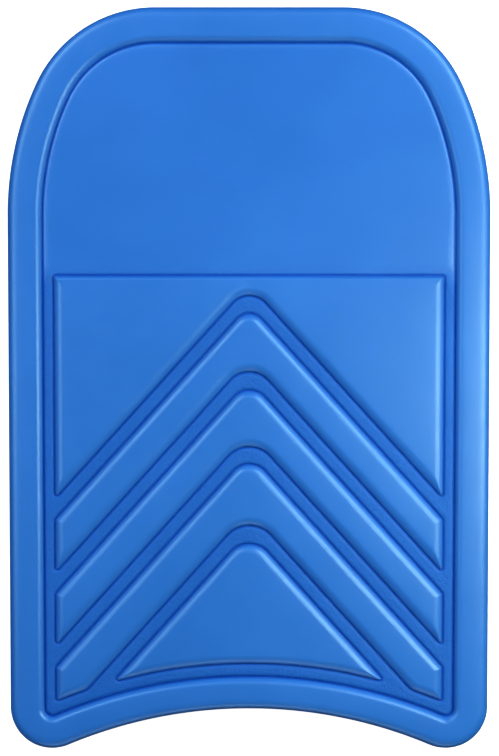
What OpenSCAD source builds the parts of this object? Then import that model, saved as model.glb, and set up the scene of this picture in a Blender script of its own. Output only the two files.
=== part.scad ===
// Kickboard float: a hand-held foam board that keeps a swimmer afloat.
//
// Two pressed foam skins close like a clamshell around a stack of three foam
// plies, and a thin bond film lies between the stack and each skin. The deck
// skin carries a raised rim, a sunk field and raised grip panels: one broad
// panel with an inverted V cut out of it, three chevrons and a triangle.
//
// Sizes are in millimetres. +Z points up out of the deck, +Y points to the
// nose, and the origin is the middle of the flat underside.

/* [Board] */
// Length from the nose to the tips of the tail
board_length = 460; // [420:1:500]
// Width across the widest part
board_width = 300; // [288:1:312]
// Thickness from the underside to the top of the rim
board_thickness = 35; // [30:1:45]
// How much each side draws in from the widest part to the tail
tail_taper = 2; // [0:0.5:5]

/* [Outline] */
// Radius of the two nose corners
nose_radius = 81; // [60:1:90]
// Angle that each nose corner turns through before the flank curve begins
nose_turn = 65; // [55:1:75]
// Radius of the flank curve that leads each nose corner into its side
flank_radius = 193; // [150:1:240]
// Radius of the two rounded tail tips
tip_radius = 26; // [24:1:34]
// Radius of the hollow curve across the tail
tail_radius = 290; // [250:5:400]
// Rounding of the upper and lower outer edges
edge_radius = 8; // [4:0.5:10]

/* [Rim] */
// Width of the raised rim along the nose and the sides
rim_width = 21.5; // [18:0.5:24]
// Width of the raised rim across the tail
tail_rim_width = 20; // [17:0.5:22]
// Depth of the sunk field and of the channels below the rim
relief_depth = 3; // [2:0.1:3.4]

/* [Panels] */
// Distance from the tips of the tail to the upper edge of the broad panel
panel_top = 293.6; // [291:0.2:310]
// Width of the channel between the rim and the ends of the panels
side_channel = 7; // [5:0.5:10]
// Width of the channel between the rim and the panels at the tail
tail_channel = 8; // [5:0.5:9]
// How far a chevron's edge falls for each millimetre that it runs sideways
chevron_slope = 1.105; // [1.05:0.005:1.15]
// Distance from the tips of the tail to the topmost chevron's crest, before it is rounded
first_crest = 276.2; // [272:0.2:278]
// Height of each of the three chevrons, measured along the board
chevron_heights = [34, 33.5, 36]; // [32.5:0.5:38]
// Height of the groove between two chevrons, measured along the board
groove_height = 12.2; // [9:0.1:12.6]
// Crest radii of the three chevrons and the triangle
crest_radii = [11, 13.5, 13.5, 16]; // [8:0.5:18]
// Notch radii of the broad panel and the three chevrons
notch_radii = [14, 16, 17.5, 18.5]; // [13:0.5:20]

/* [Layers] */
// Thickness of each skin's flat part, under the rim or over the floor
skin_thickness = 5; // [4.5:0.1:6]
// Thickness of each skin's upright wall at the edge of the board
wall_thickness = 4; // [3:0.1:5]
// Thickness of the hot-melt film between a skin and the core
film_thickness = 0.5; // [0.3:0.1:0.8]
// Depth of the small V along the seam where the two skins meet
seam_depth = 0.6; // [0.2:0.1:1]

/* [Hidden] */

skin_blue = "#3478d8";
film_grey = "#d8dde2";
ply_white = "#f2f2ee";

// Steps in each of the outline's arcs, from the nose to the middle of the tail
nose_steps = 8;
flank_steps = 5;
tip_steps = 9;
tail_steps = 5;
// Degrees that one step of a panel's rounded corner turns through
corner_step = 12;
// Steps in the board's outer edge, and in the edges of the rim and the panels
edge_steps = 4;
relief_steps = 3;
// Rounding of the rim's inner edge and of the panels' edges
relief_round = 2.9;
// Radius of the panels' outer corners at their feet, and the least that a corner keeps further up
panel_corner = 1.5;
sharpest_corner = 0.2;
// Radius where a chevron's notched edge meets the tail channel
hem_corner = 9;
// Radius of the two corners of the sunk field at the tail
field_corner = 5;
// How far a panel's foot runs down into the deck skin
panel_root = 1;
// Points along the base of the triangle, between its two corners
base_points = 5;

half_length = board_length / 2;
half_width = board_width / 2;
tail_half_width = half_width - tail_taper;
field_height = board_thickness - relief_depth;
seam_height = board_thickness / 2;
core_bottom = skin_thickness + film_thickness;
core_top = board_thickness - core_bottom;
ply_thickness = (core_top - core_bottom) / 3;
panel_half_width = half_width - rim_width - side_channel;
panel_top_y = panel_top - half_length;

// Centres of the outline's curves on the right-hand side
nose_centre = [
    half_width - flank_radius + (flank_radius - nose_radius) * sin(nose_turn),
    half_length - nose_radius
];
flank_centre = nose_centre - (flank_radius - nose_radius) * [sin(nose_turn), cos(nose_turn)];
tail_centre_y = tip_radius - half_length
    - sqrt(pow(tail_radius + tip_radius, 2) - pow(tail_half_width - tip_radius, 2));

// How far a side draws in for each millimetre towards the tail
side_fall = tail_taper / (flank_centre.y + half_length);

// The hollow curve that the lowest panels follow
hem_radius = tail_radius + tail_rim_width + tail_channel;

// Crests and notches on the centre line, before they are rounded
crests = [for (i = [0 : 3])
    first_crest - half_length - i * groove_height - sum_of(chevron_heights, i)];
notches = [for (crest = crests) crest + groove_height];

function sum_of(values, count) = count == 0 ? 0 : values[count - 1] + sum_of(values, count - 1);
function unit(v) = v / norm(v);

// The items before and after item i of a closed list
function before(list, i) = list[(i + len(list) - 1) % len(list)];
function after(list, i) = list[(i + 1) % len(list)];

// Points of an arc from one angle to another, which can leave out its first
function arc(centre, radius, from, to, steps, first = 0) =
    [for (i = [first : steps]) let (a = from + (to - from) * i / steps) centre + radius * [cos(a), sin(a)]];

// The board's outline, clockwise from the nose and drawn in by an inset.
// The tail can have its own inset, and the tips their own radius.
function outline(inset, tail_inset, tip) =
    let (
        tip_x = tail_half_width - inset - tip,
        reach = tail_radius + tail_inset + tip,
        tip_y = tail_centre_y + sqrt(reach * reach - tip_x * tip_x),
        tail_angle = acos(tip_x / reach),
        right = concat(
            arc(nose_centre, nose_radius - inset, 90, 90 - nose_turn, nose_steps),
            arc(flank_centre, flank_radius - inset, 90 - nose_turn, 0, flank_steps, 1),
            arc([tip_x, tip_y], tip, 0, tail_angle - 180, tip_steps),
            arc([0, tail_centre_y], tail_radius + tail_inset, tail_angle, 90, tail_steps, 1)
        )
    )
    concat(right, [for (i = [len(right) - 2 : -1 : 0]) [-right[i].x, right[i].y]]);

// The board's own outline, drawn in evenly all round
function even_outline(inset) = outline(inset, inset, tip_radius - inset);

// The sunk field's outline, opened out by a margin
function field_outline(margin) =
    outline(rim_width - margin, tail_rim_width - margin, field_corner + margin);

// The arc that rounds the corner at b between its neighbours a and c
function rounded_corner(a, b, c, radius) =
    let (
        u = unit(a - b),
        v = unit(c - b),
        half = acos(u * v) / 2,
        centre = b + unit(u + v) * radius / sin(half),
        start = b + u * radius / tan(half) - centre,
        turn = sign(cross(v, u)) * (180 - 2 * half),
        from = atan2(start.y, start.x)
    )
    arc(centre, radius, from, from + turn, ceil(abs(turn) / corner_step));

// A clockwise outline through [x, y, radius] corners, where a radius of 0 keeps the corner
function rounded_outline(corners) =
    let (at = [for (k = corners) [k.x, k.y]])
    [for (i = [0 : len(at) - 1])
        each corners[i].z == 0 ? [at[i]]
            : rounded_corner(before(at, i), at[i], after(at, i), corners[i].z)];

// The corners of the same outline when every side of it is moved inwards by an inset
function drawn_in(corners, inset) =
    let (at = [for (k = corners) [k.x, k.y]])
    [for (i = [0 : len(at) - 1])
        let (
            u = unit(before(at, i) - at[i]),
            v = unit(after(at, i) - at[i]),
            along = unit(v - u),
            moved = at[i] + inset / sin(acos(u * v) / 2) * [along.y, -along.x],
            radius = corners[i].z
        )
        [moved.x, moved.y,
            radius == 0 ? 0
            : cross(v, u) > 0 ? radius + inset
            : max(radius - inset, sharpest_corner)]];

// Height, at x, of the chevron edge that crosses the centre line at the given height
function chevron_edge(middle, x) = middle - chevron_slope * abs(x);

// Half the width across the panels, at a height y
function panel_side(y) = panel_half_width - side_fall * (flank_centre.y - y);

// Height, at x, of the curve that ends the lowest panels
function hem(x) = tail_centre_y + sqrt(hem_radius * hem_radius - x * x);

// Where, right of the centre line, a chevron edge meets that curve
function hem_crossing(middle) =
    let (
        a = 1 + chevron_slope * chevron_slope,
        drop = middle - tail_centre_y,
        b = chevron_slope * drop
    )
    (b - sqrt(b * b - a * (drop * drop - hem_radius * hem_radius))) / a;

// Corners on the right-hand side taken over to the left, in reverse order
function across(corners) =
    [for (i = [len(corners) - 1 : -1 : 0]) [-corners[i].x, corners[i].y, corners[i].z]];

// The corner where a chevron edge ends at the right-hand side of the panels
function side_corner(middle) =
    let (x = panel_side(chevron_edge(middle, panel_half_width)))
    [x, chevron_edge(middle, x), panel_corner];

// The broad panel: a rectangle with an inverted V cut out of it
function broad_panel() =
    let (right = [[panel_side(panel_top_y), panel_top_y, panel_corner], side_corner(notches[0])])
    concat(right, [[0, notches[0], notch_radii[0]]], across(right));

// The corners at the right-hand end of a chevron. The curve at the tail cuts the last one short.
function chevron_end(i) =
    i < 2 ? [side_corner(crests[i]), side_corner(notches[i + 1])]
    : let (w = panel_side(hem(panel_half_width)), x = hem_crossing(notches[i + 1]))
    [side_corner(crests[i]), [w, hem(w), panel_corner], [x, hem(x), hem_corner]];

// A chevron, numbered from the nose
function chevron(i) =
    let (right = chevron_end(i))
    concat(
        [[0, crests[i], crest_radii[i]]], right, [[0, notches[i + 1], notch_radii[i + 1]]], across(right)
    );

// The triangle, whose base follows the curve at the tail
function triangle() =
    let (
        w = hem_crossing(crests[3]),
        base = [for (i = [1 : base_points]) let (x = w - 2 * w * i / (base_points + 1)) [x, hem(x), 0]]
    )
    concat(
        [[0, crests[3], crest_radii[3]], [w, hem(w), panel_corner]], base, [[-w, hem(w), panel_corner]]
    );

// Is the corner at b, between a and c, one that a cut straight across can take off?
function is_ear(points, ring, a, b, c) =
    cross(points[b] - points[a], points[c] - points[b]) < 0
    && len([for (k = ring)
        if (k != a && k != b && k != c
            && cross(points[b] - points[a], points[k] - points[a]) <= 0
            && cross(points[c] - points[b], points[k] - points[b]) <= 0
            && cross(points[a] - points[c], points[k] - points[c]) <= 0) k]) == 0;

// A clockwise ring of point numbers cut into triangles, with the shortest cut first
function triangles(points, ring) =
    len(ring) == 3 ? [ring]
    : let (
        cuts = [for (i = [0 : len(ring) - 1])
            if (is_ear(points, ring, before(ring, i), ring[i], after(ring, i)))
                [norm(points[before(ring, i)] - points[after(ring, i)]), i]],
        shortest = min([for (cut = cuts) cut[0]]),
        i = [for (cut = cuts) if (cut[0] == shortest) cut[1]][0]
    )
    concat(
        [[before(ring, i), ring[i], after(ring, i)]],
        triangles(points, [for (k = [0 : len(ring) - 1]) if (k != i) ring[k]])
    );

// Solid whose surface runs through clockwise outlines, one for each height, and is
// closed by a flat face at the first and at the last
module loft(outlines, heights) {
    n = len(outlines[0]);
    last = n * (len(outlines) - 1);
    ring = [for (i = [0 : n - 1]) i];
    polyhedron(
        points = [for (k = [0 : len(outlines) - 1]) for (p = outlines[k]) [p.x, p.y, heights[k]]],
        faces = concat(
            [for (t = triangles(outlines[0], ring)) [t[2], t[1], t[0]]],
            [for (k = [0 : n : last - 1]) for (i = ring)
                let (j = (i + 1) % n) [k + i, k + j, k + n + j, k + n + i]],
            [for (t = triangles(outlines[len(outlines) - 1], ring)) [for (i = t) last + i]]
        ),
        convexity = 10
    );
}

// Angles that divide a quarter turn
function quarter(steps) = [for (i = [0 : steps]) 90 * i / steps];

// Upright slab with the core's outline, between two heights
module core_slab(bottom, top) {
    translate([0, 0, bottom])
        linear_extrude(top - bottom)
            polygon(even_outline(wall_thickness));
}

// One raised panel with rounded edges, rooted in the deck skin
module panel(corners) {
    turns = quarter(relief_steps);
    insets = concat([0], [for (a = turns) relief_round * (1 - cos(a))]);
    loft(
        [for (inset = insets) rounded_outline(drawn_in(corners, inset))],
        concat([field_height - panel_root], [for (a = turns) field_height + relief_depth * sin(a)])
    );
}

// The deck skin without its panels. Its surface runs from the ceiling over the core down
// the inside of the wall, out under the seam, up and over the rim, and down to the field.
module deck_shell() {
    edge = quarter(edge_steps);
    rim = quarter(relief_steps);
    loft(
        concat(
            [even_outline(wall_thickness), even_outline(wall_thickness)],
            [even_outline(seam_depth), even_outline(0)],
            [for (a = edge) even_outline(edge_radius * (1 - cos(a)))],
            [for (a = rim) field_outline(relief_round * (1 - sin(a)))]
        ),
        concat(
            [board_thickness - skin_thickness, seam_height],
            [seam_height, seam_height + seam_depth],
            [for (a = edge) board_thickness - edge_radius * (1 - sin(a))],
            [for (a = rim) field_height + relief_depth * cos(a)]
        )
    );
}

module deck_skin() {
    color(skin_blue) {
        deck_shell();
        panel(broad_panel());
        for (i = [0 : 2])
            panel(chevron(i));
        panel(triangle());
    }
}

// The base skin's surface runs from the flat underside round the edge and up the outside,
// in over the seam, and down the inside of the wall to the floor under the core.
module base_skin() {
    edge = quarter(edge_steps);
    color(skin_blue)
        loft(
            concat(
                [for (a = edge) even_outline(edge_radius * (1 - sin(a)))],
                [even_outline(0), even_outline(seam_depth)],
                [even_outline(wall_thickness), even_outline(wall_thickness)]
            ),
            concat(
                [for (a = edge) edge_radius * (1 - cos(a))],
                [seam_height - seam_depth, seam_height],
                [seam_height, skin_thickness]
            )
        );
}

module deck_bond_film() {
    color(film_grey) core_slab(core_top, core_top + film_thickness);
}

module base_bond_film() {
    color(film_grey) core_slab(skin_thickness, core_bottom);
}

// One of the core's plies, numbered from the base
module core_ply(i) {
    color(ply_white) core_slab(core_bottom + i * ply_thickness, core_bottom + (i + 1) * ply_thickness);
}

module core_upper_ply() { core_ply(2); }

module core_middle_ply() { core_ply(1); }

module core_lower_ply() { core_ply(0); }

deck_skin();
deck_bond_film();
core_upper_ply();
core_middle_ply();
core_lower_ply();
base_bond_film();
base_skin();
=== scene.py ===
"""Looks of the kickboard float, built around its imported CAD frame.

The two pressed foam skins are modelled in full: the rounded rim, the sunk field and the
pillowed grip panels with the nipped line that the press leaves round each of them. The
plies and films inside keep their CAD shapes. Everything is in metres, with +Z up out of
the deck and +Y towards the nose.
"""
import math

import bmesh
import bpy
import numpy as np
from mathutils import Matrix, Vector, geometry


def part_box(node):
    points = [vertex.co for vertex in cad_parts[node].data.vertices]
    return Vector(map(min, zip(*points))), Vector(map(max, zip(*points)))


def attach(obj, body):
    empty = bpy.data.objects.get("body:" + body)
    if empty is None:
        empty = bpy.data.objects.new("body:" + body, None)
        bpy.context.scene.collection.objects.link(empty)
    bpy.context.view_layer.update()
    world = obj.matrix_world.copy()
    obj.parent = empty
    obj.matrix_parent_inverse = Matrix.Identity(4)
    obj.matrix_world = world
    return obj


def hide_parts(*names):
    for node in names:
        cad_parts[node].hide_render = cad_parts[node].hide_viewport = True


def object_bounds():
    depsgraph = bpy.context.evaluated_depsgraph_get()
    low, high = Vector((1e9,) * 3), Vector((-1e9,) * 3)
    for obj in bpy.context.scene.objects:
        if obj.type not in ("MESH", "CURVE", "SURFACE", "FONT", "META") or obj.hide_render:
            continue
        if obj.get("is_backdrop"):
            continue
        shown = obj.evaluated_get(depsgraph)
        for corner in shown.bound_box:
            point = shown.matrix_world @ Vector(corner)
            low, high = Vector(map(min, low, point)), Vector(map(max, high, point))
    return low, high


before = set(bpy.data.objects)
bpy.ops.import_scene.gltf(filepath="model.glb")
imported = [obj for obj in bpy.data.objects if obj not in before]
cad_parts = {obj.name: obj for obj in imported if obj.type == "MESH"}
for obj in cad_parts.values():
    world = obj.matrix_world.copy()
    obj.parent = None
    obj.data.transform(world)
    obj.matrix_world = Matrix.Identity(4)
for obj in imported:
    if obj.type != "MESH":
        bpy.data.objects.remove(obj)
cad_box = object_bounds()

MM = 0.001

# The board's outside, from the frame
LOW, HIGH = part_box("deck_skin")
HALF_WIDTH = HIGH.x
HALF_LENGTH = round(HIGH.y, 3)
DECK = HIGH.z
SEAM = LOW.z
WALL = HIGH.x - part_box("core_upper_ply")[1].x
CORE_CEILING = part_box("deck_bond_film")[1].z
CORE_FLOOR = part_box("base_bond_film")[0].z

# The outline's curves
NOSE_RADIUS = 81 * MM
NOSE_TURN = math.radians(65)
FLANK_RADIUS = 193 * MM
TIP_RADIUS = 26 * MM
TAIL_RADIUS = 290 * MM
TAIL_HALF_WIDTH = HALF_WIDTH - 2 * MM
EDGE_RADIUS = 8 * MM
# Half of the groove that runs round the seam: how far in, and how far from the seam
SEAM_GROOVE = [(0.6 * MM, 0.0), (0.15 * MM, 0.45 * MM), (0.0, 1.1 * MM)]

# The rim and the sunk field
RIM_WIDTH = 21.5 * MM
TAIL_RIM_WIDTH = 20 * MM
FIELD_CORNER = 5 * MM
NOSE_DROP = 0.9 * MM        # how much wider the rim is at the nose
RELIEF = 3 * MM
FIELD = DECK - RELIEF

# The grip panels. Their lines stand up to 1.2 mm tailwards of the CAD's, so that the dark line
# that the nip and the wall make together falls in the right place.
PANEL_TOP = 63.2 * MM
PANEL_HALF_WIDTH = HALF_WIDTH - RIM_WIDTH - 7 * MM
HEM_RADIUS = TAIL_RADIUS + TAIL_RIM_WIDTH + 8 * MM
SLOPE = 1.105               # fall of a chevron's edges for each unit out from the centre line
GROOVE = 12.2 * MM          # the channels' width along the centre line
CRESTS = [45.0 * MM, -1.2 * MM, -46.9 * MM, -95.1 * MM]
CREST_RADII = [11 * MM, 13.5 * MM, 13.5 * MM, 16 * MM]
NOTCH_RADII = [14 * MM, 16 * MM, 17.5 * MM, 18.5 * MM]
PANEL_CORNER = 1.5 * MM
SHARPEST_CORNER = 0.3 * MM
HEM_CORNER = 9 * MM
TIP_CLEARANCE = 24 * MM     # how near the triangle's tips its hem may have corners

# How the press shapes the foam
SHOULDER = 5.5 * MM         # width of the rounded shoulder of a panel
RIM_SHOULDER = 4.0 * MM     # the same for the rim's inner side
SHOULDER_POWER = 1.75       # 2 would make the shoulder an ellipse, and more makes it squarer
CRISPNESS = 1.8             # what the broad panel's upper edge adds to the others' steepness
CRISP_REACH = 2 * MM        # how far down the panel that takes to fade
CROWN = 0.35 * MM           # how far a panel's middle stands above its shoulders
CROWN_REACH = 5 * MM
NIP_DEPTH = 1.1 * MM        # the line that the tool nips into the floor at every wall's foot
NIP_WIDTH = 1.5 * MM
RIM_NIP_DEPTH = 1.6 * MM    # the bolder line at the foot of the rim
RIM_NIP_WIDTH = 2.3 * MM
NIP_FLAT = 0.5 * MM         # how much of a panel's foot the nipped line takes
NIP_POWER = 1.6             # how the nipped line's far side curves up: 1 would be straight
RIM_CROWN = 0.1 * MM        # how far the rim's middle stands above its sides
EDGE_POWER = 2.5            # 2 would make the outer edge a quarter circle, and more is squarer
GRAIN = 0.05 * MM           # roughness that the press leaves on the channels' floors
GRAIN_FADE = 2 * MM         # how far out from the nipped lines it comes to its full height

SADDLE_DEPTH = 0.6 * MM     # the dip in the broad panel, above the first chevron's crest
SADDLE_HALF_SIZE = (4 * MM, 7 * MM)
PANEL_WAVES = (0.04 * MM, 26 * MM)   # height and pitch of a panel's unevenness
FLOOR_WAVES = (0.05 * MM, 45 * MM)   # the same for the sunk floors

# The foam's colours: its two blues, the darkening of the channels' floors (partly the denser pressed
# foam, partly painted shade in the recesses between the panels), the darker nipped lines (painted
# shade in the creases, over the pressed foam's own deeper blue), and the blue of its satin highlights
BLUES = [(0.012, 0.121, 0.51), (0.017, 0.139, 0.565)]
CHANNEL_SHADE_AND_DENSITY = (0.6, 0.74, 0.84)
NIP_SHADE_AND_DENSITY = (0.12, 0.48, 0.80)
SHEEN = (0.42, 0.77, 1.0, 1)

# Material slots of a skin: its smooth face, and the floor that the tool presses down
SMOOTH, PRESSED = 0, 1

# Spacing of the mesh. The turns only set how many points a corner or the tail gets
SHOULDER_STEPS = [0, 0.025, 0.08, 0.16, 0.26, 0.37, 0.49, 0.62, 0.75, 0.88, 1]
PRESSED_STEPS = 3           # how many of them are in the pressed slot, from the foot up
NIP_STEPS = [0.3, 0.65, 1]  # across the far side of a nipped line
ALONG = 2.2 * MM            # between the points of an outline
PANEL_GRID = 2.1 * MM
FIELD_GRID = 3.0 * MM
CHANNEL_GRID = 1.25 * MM
TIP_TURN = math.radians(113)
TAIL_TURN = math.radians(23)
TIP_FINENESS = 1.5          # how much closer together the points are round the tail's tips
BEND_FINENESS = 1.3         # the same round a panel's corners
GRID_CLEARANCE = 0.6        # least share of the pitch between a grid's points and a loop
TOP_CLEARANCE = 0.55        # the same on top of a panel
WELD_MM = 1e-5              # how close together the triangulation takes points to be one

rng = np.random.default_rng(11)


def unit(v):
    """Vectors brought to a length of 1."""
    return v / np.linalg.norm(v, axis=-1, keepdims=True)


# ---------------------------------------------------------------- outlines

def arc(centre, radius, start, end, steps):
    """Points round an arc, without its end."""
    a = np.linspace(start, end, steps, endpoint=False)
    return np.array(centre) + radius * np.stack([np.cos(a), np.sin(a)], 1)


NOSE_CENTRE = np.array([
    HALF_WIDTH - FLANK_RADIUS + (FLANK_RADIUS - NOSE_RADIUS) * math.sin(NOSE_TURN),
    HALF_LENGTH - NOSE_RADIUS,
])
FLANK_CENTRE = NOSE_CENTRE - (FLANK_RADIUS - NOSE_RADIUS) * np.array(
    [math.sin(NOSE_TURN), math.cos(NOSE_TURN)]
)
SIDE_FALL = (HALF_WIDTH - TAIL_HALF_WIDTH) / (FLANK_CENTRE[1] + HALF_LENGTH)
TAIL_CENTRE_Y = TIP_RADIUS - HALF_LENGTH - math.sqrt(
    (TAIL_RADIUS + TIP_RADIUS) ** 2 - (TAIL_HALF_WIDTH - TIP_RADIUS) ** 2
)


def outline(inset, tail_inset, tip):
    """The board's outline drawn in, clockwise from the middle of the nose.

    Every inset gives the same number of points, so that outlines join up into rings.
    """
    quarter = math.pi / 2
    tip_x = TAIL_HALF_WIDTH - inset - tip
    reach = TAIL_RADIUS + tail_inset + tip
    tip_y = TAIL_CENTRE_Y + math.sqrt(reach ** 2 - tip_x ** 2)
    tail_angle = math.acos(tip_x / reach)
    nose_y = HALF_LENGTH - inset
    nose_steps, flank_steps, tip_steps, tail_steps = (
        round(radius * angle / ALONG)
        for radius, angle in [
            (NOSE_RADIUS, NOSE_TURN), (FLANK_RADIUS, quarter - NOSE_TURN),
            (TIP_RADIUS * TIP_FINENESS, TIP_TURN), (TAIL_RADIUS, TAIL_TURN),
        ]
    )
    side_steps = round((FLANK_CENTRE[1] + HALF_LENGTH - TIP_RADIUS) / ALONG)
    flat_steps = round(NOSE_CENTRE[0] / ALONG)
    side = np.linspace(0, 1, side_steps, endpoint=False)[:, None]
    flat = np.linspace(0, 1, flat_steps, endpoint=False)[:, None]
    side_top = np.array([HALF_WIDTH - inset, FLANK_CENTRE[1]])
    side_foot = np.array([TAIL_HALF_WIDTH - inset, tip_y])
    right = np.concatenate([
        np.array([0, nose_y]) + flat * [NOSE_CENTRE[0], 0],
        arc(NOSE_CENTRE, NOSE_RADIUS - inset, quarter, quarter - NOSE_TURN, nose_steps),
        arc(FLANK_CENTRE, FLANK_RADIUS - inset, quarter - NOSE_TURN, 0, flank_steps),
        side_top + side * (side_foot - side_top),
        arc([tip_x, tip_y], tip, 0, tail_angle - math.pi, tip_steps),
        arc([0, TAIL_CENTRE_Y], TAIL_RADIUS + tail_inset, tail_angle, quarter, tail_steps),
        [[0, TAIL_CENTRE_Y + TAIL_RADIUS + tail_inset]],
    ])
    return np.concatenate([right, right[-2:0:-1] * [-1, 1]])


def even_outline(inset):
    """The board's own outline, drawn in evenly all round."""
    return outline(inset, inset, TIP_RADIUS - inset)


def field_outline(margin):
    """The sunk field's outline, opened out by a margin."""
    xy = outline(RIM_WIDTH - margin, TAIL_RIM_WIDTH - margin, FIELD_CORNER + margin)
    xy[:, 1] -= NOSE_DROP * np.clip(xy[:, 1] / HALF_LENGTH, 0, 1)
    return xy


class Panel:
    """A panel's outline at its foot, as clockwise (x, y, radius) corners.

    The outline can be moved inwards or outwards, always with the same number of points.
    """

    def __init__(self, corners):
        self.at = np.array([[x, y] for x, y, _ in corners])
        self.radii = [radius for _, _, radius in corners]
        before = unit(np.roll(self.at, 1, 0) - self.at)
        after = unit(np.roll(self.at, -1, 0) - self.at)
        along = unit(after - before)
        self.inward = np.stack([along[:, 1], -along[:, 0]], 1)
        self.half = np.arccos(np.clip((before * after).sum(1), -1, 1)) / 2
        # A notch's arc turns the other way from an outward corner's
        self.side = np.sign(after[:, 0] * before[:, 1] - after[:, 1] * before[:, 0])
        self.start = np.arctan2(self.side * before[:, 0], -self.side * before[:, 1])
        self.turn = self.side * (math.pi - 2 * self.half)
        feet = self.bends(0)
        gaps = [np.linalg.norm(b[0] - a[-1]) for a, b in zip(feet, feet[1:] + feet[:1])]
        self.steps = [max(1, round(gap / ALONG)) for gap in gaps]

    def bends(self, inset):
        """The rounded corners, one array of points for each."""
        moved = self.at + self.inward * (inset / np.sin(self.half))[:, None]
        bends = []
        for i, radius in enumerate(self.radii):
            if radius == 0:
                bends.append(moved[i:i + 1])
                continue
            bent = radius + inset if self.side[i] > 0 else max(radius - inset, SHARPEST_CORNER)
            centre = moved[i] - self.side[i] * self.inward[i] * bent / math.sin(self.half[i])
            steps = max(5, round(radius * abs(self.turn[i]) / ALONG * BEND_FINENESS))
            angles = self.start[i] + self.turn[i] * np.linspace(0, 1, steps + 1)
            bends.append(centre + bent * np.stack([np.cos(angles), np.sin(angles)], 1))
        return bends

    def outline(self, inset):
        """The outline with every side of it moved inwards by an inset."""
        bends = self.bends(inset)
        parts = []
        for bend, following, steps in zip(bends, bends[1:] + bends[:1], self.steps):
            parts += [bend[:-1], np.linspace(bend[-1], following[0], steps, endpoint=False)]
        return np.concatenate(parts)


def panel_side(y):
    """Half the width across the panels, at a height y."""
    return PANEL_HALF_WIDTH - SIDE_FALL * (FLANK_CENTRE[1] - y)


def edge_y(middle, x):
    """Height, at x, of the chevron edge that crosses the centre line at middle."""
    return middle - SLOPE * abs(x)


def hem_y(x):
    """Height, at x, of the curve that ends the lowest panels."""
    return TAIL_CENTRE_Y + math.sqrt(HEM_RADIUS ** 2 - x * x)


def hem_crossing(middle):
    """Where, right of the centre line, a chevron edge meets that curve."""
    a = 1 + SLOPE ** 2
    drop = middle - TAIL_CENTRE_Y
    b = SLOPE * drop
    return (b - math.sqrt(b * b - a * (drop * drop - HEM_RADIUS ** 2))) / a


def across(corners):
    """Corners on the right-hand side taken over to the left, in reverse order."""
    return [(-x, y, radius) for x, y, radius in reversed(corners)]


def hem_corners(tip_x):
    """Sharp corners close together along the hem curve, from right to left between two tips.

    None comes near a tip, because the tip moves a long way in as the panel's top draws in.
    """
    reach = tip_x - TIP_CLEARANCE
    steps = round(2 * reach / (3 * ALONG))
    return [(x, hem_y(x), 0) for x in np.linspace(reach, -reach, steps + 1)]


def side_corner(middle):
    """The corner where a chevron edge ends at the right-hand side of the panels."""
    x = panel_side(edge_y(middle, PANEL_HALF_WIDTH))
    return (x, edge_y(middle, x), PANEL_CORNER)


def grip_panels():
    """The five panels, from the nose to the tail."""
    notches = [crest + GROOVE for crest in CRESTS]
    broad = [(panel_side(PANEL_TOP), PANEL_TOP, PANEL_CORNER), side_corner(notches[0])]
    panels = [broad + [(0, notches[0], NOTCH_RADII[0])] + across(broad)]
    for i in range(3):
        end = [side_corner(CRESTS[i])]
        if i < 2:
            end.append(side_corner(notches[i + 1]))
        else:
            side_x = panel_side(hem_y(PANEL_HALF_WIDTH))
            end_x = hem_crossing(notches[3])
            end += [(side_x, hem_y(side_x), PANEL_CORNER), (end_x, hem_y(end_x), HEM_CORNER)]
        notch = [(0, notches[i + 1], NOTCH_RADII[i + 1])]
        panels.append([(0, CRESTS[i], CREST_RADII[i])] + end + notch + across(end))
    tip_x = hem_crossing(CRESTS[3])
    tip = (tip_x, hem_y(tip_x), PANEL_CORNER)
    panels.append([(0, CRESTS[3], CREST_RADII[3]), tip] + hem_corners(tip_x) + across([tip]))
    return [Panel(corners) for corners in panels]


# ---------------------------------------------------------------- heights

def inside(points, loop):
    """Which points lie inside a closed loop."""
    hit = np.zeros(len(points), bool)
    for (x1, y1), (x2, y2) in zip(loop, np.roll(loop, -1, 0)):
        if y1 != y2:
            level = (y1 > points[:, 1]) != (y2 > points[:, 1])
            hit ^= level & (points[:, 0] < (x2 - x1) * (points[:, 1] - y1) / (y2 - y1) + x1)
    return hit


def distance(points, loop):
    """Distance from each point to a closed loop of short segments."""
    best = np.full(len(points), np.inf)
    for p, q in zip(loop, np.roll(loop, -1, 0)):
        run = q - p
        t = np.clip((points - p) @ run / (run @ run), 0, 1)
        best = np.minimum(best, np.linalg.norm(points - p - t[:, None] * run, axis=1))
    return best


def waves(xy, pitch, seed):
    """A smooth, gentle unevenness between about -1 and 1, with bumps about a pitch apart."""
    seeded = np.random.default_rng(seed)
    trains = 7
    total = np.zeros(len(xy))
    for _ in range(trains):
        angle = seeded.uniform(0, math.tau)
        rate = math.tau / (pitch * seeded.uniform(0.8, 1.6))
        run = xy @ [math.cos(angle), math.sin(angle)]
        total += np.sin(run * rate + seeded.uniform(0, math.tau))
    return total / (trains / 2)


def shoulder(share):
    """The rounded shoulder's rise from 0 to 1, at a share of its width in from the foot."""
    left = np.clip(1 - share, 0, 1)
    return (1 - left ** SHOULDER_POWER) ** (1 / SHOULDER_POWER)


def edge(height_m):
    """Insets and heights round the board's outer edge, from the wall to the flat of the rim."""
    power = 2 / EDGE_POWER
    return [
        (EDGE_RADIUS * (1 - math.cos(a) ** power), height_m * math.sin(a) ** power)
        for a in np.linspace(0, math.pi / 2, 10)[1:-1]
    ] + [(EDGE_RADIUS, height_m)]


def crown(d):
    """The pillowed top's rise past the shoulder, from 0 to 1."""
    return 1 - np.exp(-np.maximum(d, 0) / CROWN_REACH)


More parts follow.
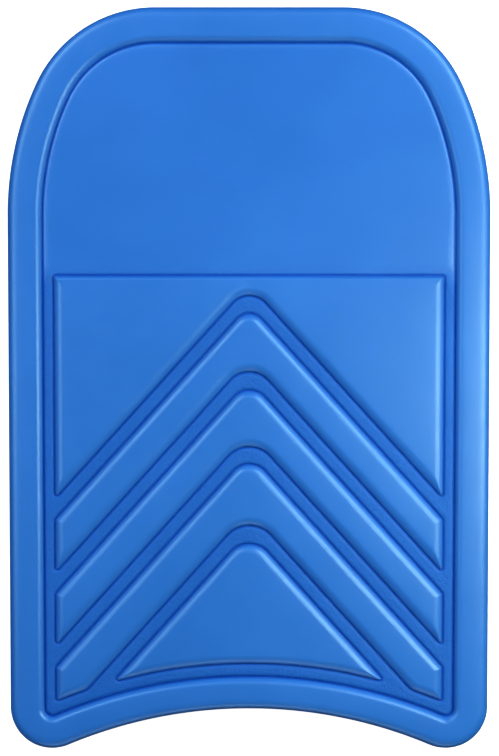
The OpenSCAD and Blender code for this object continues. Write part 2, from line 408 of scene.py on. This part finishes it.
def panel_height(xy, d):
    """Height of a panel at a distance in from its foot, which stands in the nipped line."""
    below_top = PANEL_TOP - NIP_FLAT - xy[:, 1]
    crisp = 1 + CRISPNESS * np.clip(1 - (below_top - d) / CRISP_REACH, 0, 1)
    rise = (RELIEF + NIP_DEPTH - CROWN) * shoulder(d * crisp / SHOULDER) + CROWN * crown(d)
    bridge_y = (PANEL_TOP + CRESTS[0] + GROOVE) / 2
    half_width, half_length = SADDLE_HALF_SIZE
    saddle = np.exp(-(xy[:, 0] / half_width) ** 2 - ((xy[:, 1] - bridge_y) / half_length) ** 2)
    wave, pitch = PANEL_WAVES
    uneven = SADDLE_DEPTH * saddle + wave * (1 + waves(xy, pitch, 3))
    return FIELD - NIP_DEPTH + rise - uneven * np.clip(d / SHOULDER, 0, 1)


def floor_height(xy):
    """Height of the sunk field and of the channels' floors."""
    wave, pitch = FLOOR_WAVES
    return FIELD + wave * waves(xy, pitch, 5)


# ---------------------------------------------------------------- mesh

def regions(triangles, walls):
    """Groups of triangles that touch one another along edges that are not walls."""
    shared = {tuple(sorted(wall)): None for wall in walls}
    links = [[] for _ in triangles]
    for n, (a, b, c) in enumerate(triangles):
        for side in [(a, b), (b, c), (c, a)]:
            side = tuple(sorted(side))
            if side not in shared:
                shared[side] = n
            elif shared[side] is not None:
                links[n].append(shared[side])
                links[shared[side]].append(n)
    waiting = set(range(len(triangles)))
    while waiting:
        group, front = [], [waiting.pop()]
        while front:
            n = front.pop()
            group.append(n)
            fresh = [m for m in links[n] if m in waiting]
            waiting.difference_update(fresh)
            front += fresh
        yield triangles[group]


class Skin:
    """The points and faces of a skin, as they are added."""

    def __init__(self):
        self.points = []
        self.faces = []
        self.slots = []
        self.slot = SMOOTH

    def add(self, xy, z):
        """Adds points and gives their numbers."""
        first = len(self.points)
        z = np.broadcast_to(z, len(xy))
        self.points += [(x, y, h) for (x, y), h in zip(xy, z)]
        return np.arange(first, len(self.points))

    def cover(self, faces):
        """Adds faces in the material slot that is in use."""
        self.faces += [tuple(int(i) for i in face) for face in faces]
        self.slots += [self.slot] * len(faces)

    def join(self, ring, following):
        """Quads between two closed rings of points."""
        self.cover(np.stack([ring, np.roll(ring, -1), np.roll(following, -1), following], 1))

    def rings(self, outlines, heights, ring):
        """Joins outline after outline to a ring, and gives the last one's numbers."""
        for xy, z in zip(outlines, heights):
            following = self.add(xy, z)
            self.join(ring, following)
            ring = following
        return ring

    def cap(self, ring):
        """Closes a ring with one flat face."""
        self.cover([ring])

    def fill(self, loops, extra, height):
        """Triangles from the loops to the extra points, which all lie between the loops."""
        numbers = np.concatenate(loops)
        starts = np.cumsum([0] + [len(loop) for loop in loops])
        edges = [
            (first + i, first + (i + 1) % (end - first))
            for first, end in zip(starts, starts[1:]) for i in range(end - first)
        ]
        everything = np.concatenate([np.array(self.points)[numbers][:, :2], extra])
        # The triangulation works in millimetres, where its tolerance is safe
        flat = [Vector(p / MM) for p in everything]
        _, _, triangles, origins, _, _ = geometry.delaunay_2d_cdt(flat, edges, [], 0, WELD_MM)
        known = np.concatenate([numbers, self.add(extra, height)])
        corner = np.array([origin[0] for origin in origins])
        for region in regions(corner[np.array(triangles)], edges):
            if region.max() >= len(numbers):
                self.cover(known[region])

    def build(self, name, materials):
        """Makes the object, smooth-shaded and with its faces turned outwards."""
        mesh = bpy.data.meshes.new(name)
        mesh.from_pydata(self.points, [], self.faces)
        for material in materials:
            mesh.materials.append(material)
        mesh.polygons.foreach_set("material_index", self.slots)
        mesh.shade_smooth()
        turned = bmesh.new()
        turned.from_mesh(mesh)
        bmesh.ops.recalc_face_normals(turned, faces=turned.faces)
        turned.to_mesh(mesh)
        turned.free()
        obj = bpy.data.objects.new(name, mesh)
        bpy.context.scene.collection.objects.link(obj)
        return obj


def grid(low, high, pitch):
    """Points of a triangular grid over a rectangle."""
    rows = np.arange(low[1], high[1], pitch * math.sqrt(3) / 2)
    columns = np.arange(low[0], high[0], pitch)
    xy = [
        np.stack([columns + (pitch / 2 if i % 2 else 0), np.full(len(columns), y)], 1)
        for i, y in enumerate(rows)
    ]
    return np.concatenate(xy)


def rim_rings():
    """Outlines and heights from the seam up the wall, over the rim and down to its foot."""
    profile = [(inset, SEAM + rise) for inset, rise in SEAM_GROOVE]
    wall_top = DECK - EDGE_RADIUS
    profile += [(0.0, z) for z in np.linspace(SEAM + 3 * MM, wall_top, 4)]
    profile += [(inset, wall_top + rise) for inset, rise in edge(EDGE_RADIUS - RIM_CROWN)]
    outlines = [even_outline(inset) for inset, _ in profile]
    heights = [z for _, z in profile]
    for t in np.linspace(0, 1, 8)[1:-1]:
        near, far = even_outline(EDGE_RADIUS), field_outline(RIM_SHOULDER)
        outlines.append(near + (far - near) * t)
        heights.append(DECK - RIM_CROWN * (2 * t - 1) ** 2)
    for t in reversed(SHOULDER_STEPS):
        outlines.append(field_outline(RIM_SHOULDER * t))
        rise = (RELIEF + RIM_NIP_DEPTH - RIM_CROWN) * float(shoulder(t))
        heights.append(FIELD - RIM_NIP_DEPTH + rise)
    return outlines, heights


def add_panel(skin, panel, foot_ring):
    """Raises one panel from its foot, which is already in the floor."""
    outlines = [panel.outline(NIP_FLAT + SHOULDER * t) for t in SHOULDER_STEPS]
    heights = [
        panel_height(xy, np.full(len(xy), SHOULDER * t)) for xy, t in zip(outlines, SHOULDER_STEPS)
    ]
    low = PRESSED_STEPS + 1
    skin.slot = PRESSED
    wall = skin.rings(outlines[:low], heights[:low], foot_ring)
    skin.slot = SMOOTH
    top = skin.rings(outlines[low:], heights[low:], wall)
    inner = outlines[-1]
    points = grid(inner.min(0), inner.max(0), PANEL_GRID)
    points = points[inside(points, inner)]
    d = distance(points, panel.outline(0)) - NIP_FLAT
    keep = d > SHOULDER + TOP_CLEARANCE * PANEL_GRID
    points, d = points[keep], d[keep]
    skin.fill([top], points, panel_height(points, d))
    skin.slot = PRESSED


def floor_points(field, feet):
    """Points of the field's floor and their grain: wide apart and smooth in the open, close
    together and grainy in the channels."""
    low, high = field.min(0), field.max(0)
    margin = 4 * MM
    split = PANEL_TOP + margin
    open_field = grid((low[0], split), high, FIELD_GRID)
    channels = grid(low, (high[0], split), CHANNEL_GRID)
    kept, grain = [], []
    for points, pitch, rough in [(open_field, FIELD_GRID, 0), (channels, CHANNEL_GRID, GRAIN)]:
        points = points[inside(points, field)]
        for foot in feet:
            points = points[~inside(points, foot)]
        gap = np.min([distance(points, loop) for loop in [field] + feet], 0)
        clear = gap > GRID_CLEARANCE * pitch
        points, gap = points[clear], gap[clear]
        kept.append(points)
        grain.append(rng.normal(0, 1, len(points)) * rough * np.clip(gap / GRAIN_FADE, 0, 1))
    return np.concatenate(kept), np.concatenate(grain)


def leave_nip(skin, foot_ring, outline_at, width, depth):
    """Joins the ring at a wall's foot to the floor, up the far side of the nipped line.

    Gives the last ring's outline and its numbers.
    """
    line = [(width * t, depth * (1 - t) ** NIP_POWER) for t in NIP_STEPS]
    outlines = [outline_at(-out) for out, _ in line]
    levels = [floor_height(xy) - dip for xy, (_, dip) in zip(outlines, line)]
    return outlines[-1], skin.rings(outlines, levels, foot_ring)


def deck_mesh():
    """The deck skin: one closed surface, from the ceiling over the core round to the deck."""
    skin = Skin()
    cavity = even_outline(WALL)
    ceiling = skin.add(cavity, CORE_CEILING)
    skin.cap(ceiling)
    inner = skin.rings([cavity], [SEAM], ceiling)
    outlines, heights = rim_rings()
    low = PRESSED_STEPS
    rim = skin.rings(outlines[:-low], heights[:-low], inner)
    skin.slot = PRESSED
    foot = skin.rings(outlines[-low:], heights[-low:], rim)

    walls = [leave_nip(skin, foot, field_outline, RIM_NIP_WIDTH, RIM_NIP_DEPTH)]
    for panel in grip_panels():
        panel_foot = skin.add(panel.outline(0), FIELD - NIP_DEPTH)
        add_panel(skin, panel, panel_foot)
        walls.append(leave_nip(skin, panel_foot, panel.outline, NIP_WIDTH, NIP_DEPTH))
    loops, floor_rings = zip(*walls)
    points, grain = floor_points(loops[0], list(loops[1:]))
    skin.fill(floor_rings, points, floor_height(points) + grain)
    return skin


def base_mesh():
    """The base skin: from the flat underside round the edge, and in to the core's floor."""
    skin = Skin()
    bend = [(inset, EDGE_RADIUS - drop) for inset, drop in reversed(edge(EDGE_RADIUS))]
    groove = [(inset, SEAM - drop) for inset, drop in reversed(SEAM_GROOVE)]
    wall = [(0.0, z) for z in np.linspace(EDGE_RADIUS, groove[0][1], 5)[:-1]]
    profile = bend + wall + groove + [(WALL, SEAM), (WALL, CORE_FLOOR)]
    under = skin.add(even_outline(profile[0][0]), profile[0][1])
    skin.cap(under)
    last = skin.rings(
        [even_outline(inset) for inset, _ in profile[1:]], [z for _, z in profile[1:]], under
    )
    skin.cap(last)
    return skin


# ---------------------------------------------------------------- materials

class Nodes:
    """A material's node tree, with short ways to add and link nodes."""

    def __init__(self, name):
        self.material = bpy.data.materials.new(name)
        self.material.use_nodes = True
        self.tree = self.material.node_tree
        self.shader = self.tree.nodes["Principled BSDF"]

    def add(self, kind, **values):
        """A new node, with values for its inputs and its settings."""
        node = self.tree.nodes.new(kind)
        for key, value in values.items():
            if key in node.inputs:
                node.inputs[key].default_value = value
            else:
                setattr(node, key, value)
        return node

    def link(self, output, target):
        """Feeds an output into an input."""
        self.tree.links.new(output, target)


def place(nodes):
    """The piece's own coordinates, in metres."""
    return nodes.add("ShaderNodeTexCoord").outputs["Object"]


def noise(nodes, where, scale, detail=3.0, roughness=0.5):
    """Soft noise from 0 to 1, mostly between 0.3 and 0.7."""
    node = nodes.add("ShaderNodeTexNoise", Scale=scale, Detail=detail, Roughness=roughness)
    nodes.link(where, node.inputs["Vector"])
    return node.outputs["Fac"]


def ramp(nodes, value, stops):
    """A colour that follows a value through stops of (value, colour)."""
    node = nodes.add("ShaderNodeValToRGB")
    bar = node.color_ramp
    while len(bar.elements) < len(stops):
        bar.elements.new(0.5)
    for element, (at, colour) in zip(bar.elements, stops):
        element.position = at
        element.color = (*colour, 1.0)
    nodes.link(value, node.inputs["Fac"])
    return node.outputs["Color"]


def spread(nodes, value, given, wanted):
    """A value taken from one (low, high) range over to another, and held to its ends."""
    node = nodes.add("ShaderNodeMapRange")
    keys = ["From Min", "From Max", "To Min", "To Max"]
    for key, number in zip(keys, [*given, *wanted]):
        node.inputs[key].default_value = number
    nodes.link(value, node.inputs["Value"])
    return node.outputs["Result"]


def times(nodes, a, b):
    """The product of two values."""
    node = nodes.add("ShaderNodeMath", operation="MULTIPLY")
    nodes.link(a, node.inputs[0])
    nodes.link(b, node.inputs[1])
    return node.outputs[0]


def bump(nodes, height, strength, distance_m, normal=None):
    """A normal bent by a height, on top of another normal if there is one."""
    node = nodes.add("ShaderNodeBump", Strength=strength, Distance=distance_m)
    nodes.link(height, node.inputs["Height"])
    if normal is not None:
        nodes.link(normal, node.inputs["Normal"])
    return node.outputs["Normal"]


def mixed(nodes, factor, a, b):
    """Colour a where the factor is 0 and colour b where it is 1."""
    node = nodes.add("ShaderNodeMix", data_type="RGBA")
    first_colour, second_colour, mixed_colour = node.inputs[6], node.inputs[7], node.outputs[2]
    nodes.link(factor, node.inputs["Factor"])
    nodes.link(a, first_colour)
    nodes.link(b, second_colour)
    return mixed_colour


def foam_colour(nodes, where, left=(1, 1, 1)):
    """The foam's blue, slightly clouded. A share of it below 1 can be left of a colour channel."""
    return ramp(nodes, noise(nodes, where, 14, 4), [
        (at, tuple(share * c for share, c in zip(left, blue))) for at, blue in zip((0.3, 0.7), BLUES)
    ])


def moulded(nodes, where, normal):
    """The fine texture that the tool leaves all over the foam."""
    fine = noise(nodes, where, scale=1100, detail=2, roughness=0.55)
    return bump(nodes, fine, strength=0.12, distance_m=0.15 * MM, normal=normal)


def smooth_foam():
    """Blue closed-cell foam with the satin face of a hot press."""
    nodes = Nodes("smooth_foam_blue")
    where = place(nodes)
    patches = noise(nodes, where, scale=160, detail=2)
    dimples = bump(nodes, noise(nodes, where, scale=260), strength=0.12, distance_m=0.3 * MM)
    nodes.link(foam_colour(nodes, where), nodes.shader.inputs["Base Color"])
    nodes.link(spread(nodes, patches, (0.3, 0.7), (0.35, 0.42)), nodes.shader.inputs["Roughness"])
    nodes.link(moulded(nodes, where, dimples), nodes.shader.inputs["Normal"])
    nodes.shader.inputs["Specular IOR Level"].default_value = 1.0
    nodes.shader.inputs["Specular Tint"].default_value = SHEEN
    return nodes.material


def shaded_pressed_foam():
    """The same foam where the tool presses it deepest: denser and grainier, and darker, partly for the
    density and partly as painted shade in the channels and the nipped creases.

    Its colour and grain fade into the smooth face's above the panels.
    """
    nodes = Nodes("shaded_pressed_foam_blue")
    where = place(nodes)
    split = nodes.add("ShaderNodeSeparateXYZ")
    nodes.link(where, split.inputs[0])
    _, y, z = split.outputs
    by_panels = spread(nodes, y, (PANEL_TOP - 6 * MM, PANEL_TOP + 8 * MM), (1, 0))
    low_down = spread(nodes, z, (FIELD + 0.1 * MM, FIELD + 0.9 * MM), (1, 0))
    # The channels' floors are grainier and less glossy, and darker, partly for the denser foam and
    # partly as painted shade in the recesses
    channel = times(nodes, by_panels, low_down)
    # The nipped lines are darkened as painted shade in the creases, over the pressed foam's own deeper
    # blue
    nip = spread(nodes, z, (FIELD - 0.75 * NIP_DEPTH, FIELD + 0.1 * MM), (1, 0))
    smooth, dense_and_shaded = foam_colour(nodes, where), foam_colour(nodes, where, CHANNEL_SHADE_AND_DENSITY)
    floor = mixed(nodes, channel, smooth, dense_and_shaded)
    colour = mixed(nodes, nip, floor, foam_colour(nodes, where, NIP_SHADE_AND_DENSITY))
    grain = times(nodes, noise(nodes, where, scale=620, roughness=0.6), channel)
    rough = bump(nodes, grain, strength=0.8, distance_m=0.6 * MM)
    nodes.link(colour, nodes.shader.inputs["Base Color"])
    nodes.link(spread(nodes, channel, (0, 1), (0.36, 0.55)), nodes.shader.inputs["Roughness"])
    nodes.link(spread(nodes, channel, (0, 1), (1.0, 0.35)), nodes.shader.inputs["Specular IOR Level"])
    nodes.link(moulded(nodes, where, rough), nodes.shader.inputs["Normal"])
    nodes.shader.inputs["Specular Tint"].default_value = SHEEN
    return nodes.material


def cut_foam():
    """Off-white foam sheet, cut open so that its cells show."""
    nodes = Nodes("cut_foam_white")
    where = place(nodes)
    cells = nodes.add("ShaderNodeTexVoronoi", Scale=650.0)
    nodes.link(where, cells.inputs["Vector"])
    depth = cells.outputs["Distance"]
    tint = ramp(nodes, noise(nodes, where, 30), [(0.3, (0.78, 0.78, 0.74)), (0.7, (0.86, 0.86, 0.83))])
    nodes.link(tint, nodes.shader.inputs["Base Color"])
    nodes.link(spread(nodes, depth, (0, 0.6), (0.75, 0.9)), nodes.shader.inputs["Roughness"])
    nodes.link(bump(nodes, depth, 0.5, 0.4 * MM), nodes.shader.inputs["Normal"])
    return nodes.material


def bond_film():
    """Pale hot-melt film with a faint mottle."""
    nodes = Nodes("bond_film_grey")
    where = place(nodes)
    tint = ramp(nodes, noise(nodes, where, 90), [(0.35, (0.60, 0.64, 0.67)), (0.65, (0.68, 0.72, 0.75))])
    mottle = spread(nodes, noise(nodes, where, 300), (0.3, 0.7), (0.25, 0.4))
    nodes.link(tint, nodes.shader.inputs["Base Color"])
    nodes.link(mottle, nodes.shader.inputs["Roughness"])
    return nodes.material


def paint(obj, material):
    """Gives the whole of an object one material."""
    obj.data.materials.clear()
    obj.data.materials.append(material)


# ---------------------------------------------------------------- the pieces

def add_skins():
    """Both foam skins, in place of their CAD solids."""
    smooth, pressed = smooth_foam(), shaded_pressed_foam()
    for name, node, made, materials in [
        ("deck_skin_foam", "deck_skin", deck_mesh(), [smooth, pressed]),
        ("base_skin_foam", "base_skin", base_mesh(), [smooth]),
    ]:
        piece = made.build(name, materials)
        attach(piece, "root")
        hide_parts(node)


def finish_core():
    """The plies and films keep their CAD shapes and get their own materials."""
    foam, film = cut_foam(), bond_film()
    for name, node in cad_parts.items():
        if name.startswith("core_"):
            paint(node, foam)
        elif name.endswith("_film"):
            paint(node, film)


# ---------------------------------------------------------------- the studio

def floor_material():
    """Matt white that glows, so that the floor comes out evenly white."""
    nodes = Nodes("studio_floor_white")
    where = place(nodes)
    tint = ramp(nodes, noise(nodes, where, 1.5), [(0.3, (0.90, 0.90, 0.90)), (0.7, (0.92, 0.92, 0.92))])
    nodes.link(tint, nodes.shader.inputs["Base Color"])
    nodes.shader.inputs["Roughness"].default_value = 0.9
    nodes.shader.inputs["Specular IOR Level"].default_value = 0.1
    nodes.shader.inputs["Emission Color"].default_value = (1, 1, 1, 1)
    nodes.shader.inputs["Emission Strength"].default_value = 0.95
    return nodes.material


def add_floor():
    """A wide white floor. It throws no light back, so that the board's edges stay dark."""
    radius = 12.0
    steps = 96
    gap = 0.3 * MM
    angles = [math.tau * i / steps for i in range(steps)]
    rim = [(radius * math.cos(a), radius * math.sin(a), 0) for a in angles]
    mesh = bpy.data.meshes.new("studio_floor")
    mesh.from_pydata(rim, [], [tuple(range(steps))])
    floor = bpy.data.objects.new("studio_floor", mesh)
    bpy.context.scene.collection.objects.link(floor)
    floor.location.z = cad_box[0].z - gap
    floor.visible_diffuse = False
    floor.visible_glossy = False
    paint(floor, floor_material())
    floor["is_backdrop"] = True


def add_light(name, place_m, size, watts, colour):
    """A soft rectangular light, aimed at the board."""
    data = bpy.data.lights.new(name, "AREA")
    data.shape = "RECTANGLE"
    data.size, data.size_y = size
    data.energy = watts
    data.color = colour
    lamp = bpy.data.objects.new(name, data)
    lamp.location = place_m
    lamp.visible_camera = False
    lamp.rotation_euler = (Vector((0, 0, DECK)) - Vector(place_m)).to_track_quat("-Z", "Y").to_euler()
    bpy.context.scene.collection.objects.link(lamp)


def add_lights():
    """Softboxes round the board, stronger towards the nose and on the right."""
    cool, daylight, warm = (0.80, 0.95, 1.0), (0.92, 0.98, 1.0), (1.0, 0.97, 0.7)
    add_light("overhead", (0.3, 0.1, 2.6), (2.0, 2.0), 1, daylight)
    add_light("nose_softbox", (0.0, 1.1, 1.2), (0.8, 0.4), 1, daylight)
    add_light("upper_left_softbox", (-0.75, 0.75, 0.85), (0.8, 0.5), 8.3, cool)
    add_light("upper_right_softbox", (0.8, 0.7, 0.85), (0.8, 0.5), 12.5, cool)
    add_light("right_softbox", (0.43, -0.02, 0.45), (0.2, 0.5), 3.0, warm)
    add_light("left_softbox", (-0.9, 0.0, 0.9), (0.4, 0.7), 3.8, cool)
    add_light("tail_softbox", (0.0, -1.3, 0.35), (0.9, 0.3), 2.5, daylight)


def add_world():
    """Dim light from all round, behind a pale backdrop that only the camera sees."""
    world = bpy.data.worlds.new("studio")
    world.use_nodes = True
    tree = world.node_tree
    back = tree.nodes["Background"]
    back.inputs["Color"].default_value = (0.95, 0.97, 1.0, 1)
    back.inputs["Strength"].default_value = 0.04
    seen = tree.nodes.new("ShaderNodeBackground")
    seen.inputs["Color"].default_value = (0.97, 0.97, 0.97, 1)
    ray = tree.nodes.new("ShaderNodeLightPath")
    mix = tree.nodes.new("ShaderNodeMixShader")
    tree.links.new(ray.outputs["Is Camera Ray"], mix.inputs["Fac"])
    tree.links.new(back.outputs[0], mix.inputs[1])
    tree.links.new(seen.outputs[0], mix.inputs[2])
    tree.links.new(mix.outputs[0], tree.nodes["World Output"].inputs["Surface"])
    bpy.context.scene.world = world


def add_camera():
    """Straight above the board, with the nose at the top of the picture."""
    lens, sensor = 85.0, 36.0
    seen_length = 0.470
    aim_x, aim_y = 0.3 * MM, -0.3 * MM
    data = bpy.data.cameras.new("camera")
    data.lens = lens
    data.sensor_width = sensor
    data.clip_end = 40
    camera = bpy.data.objects.new("camera", data)
    bpy.context.scene.collection.objects.link(camera)
    widest = DECK - EDGE_RADIUS
    camera.location = (aim_x, aim_y, widest + seen_length * lens / sensor)
    bpy.context.scene.camera = camera


add_skins()
finish_core()
add_floor()
add_world()
add_lights()
add_camera()
bpy.context.scene.view_settings.view_transform = "Standard"

boxes = {"cad": cad_box, "visual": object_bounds()}
{k: [list(corner) for corner in v] for k, v in boxes.items()}
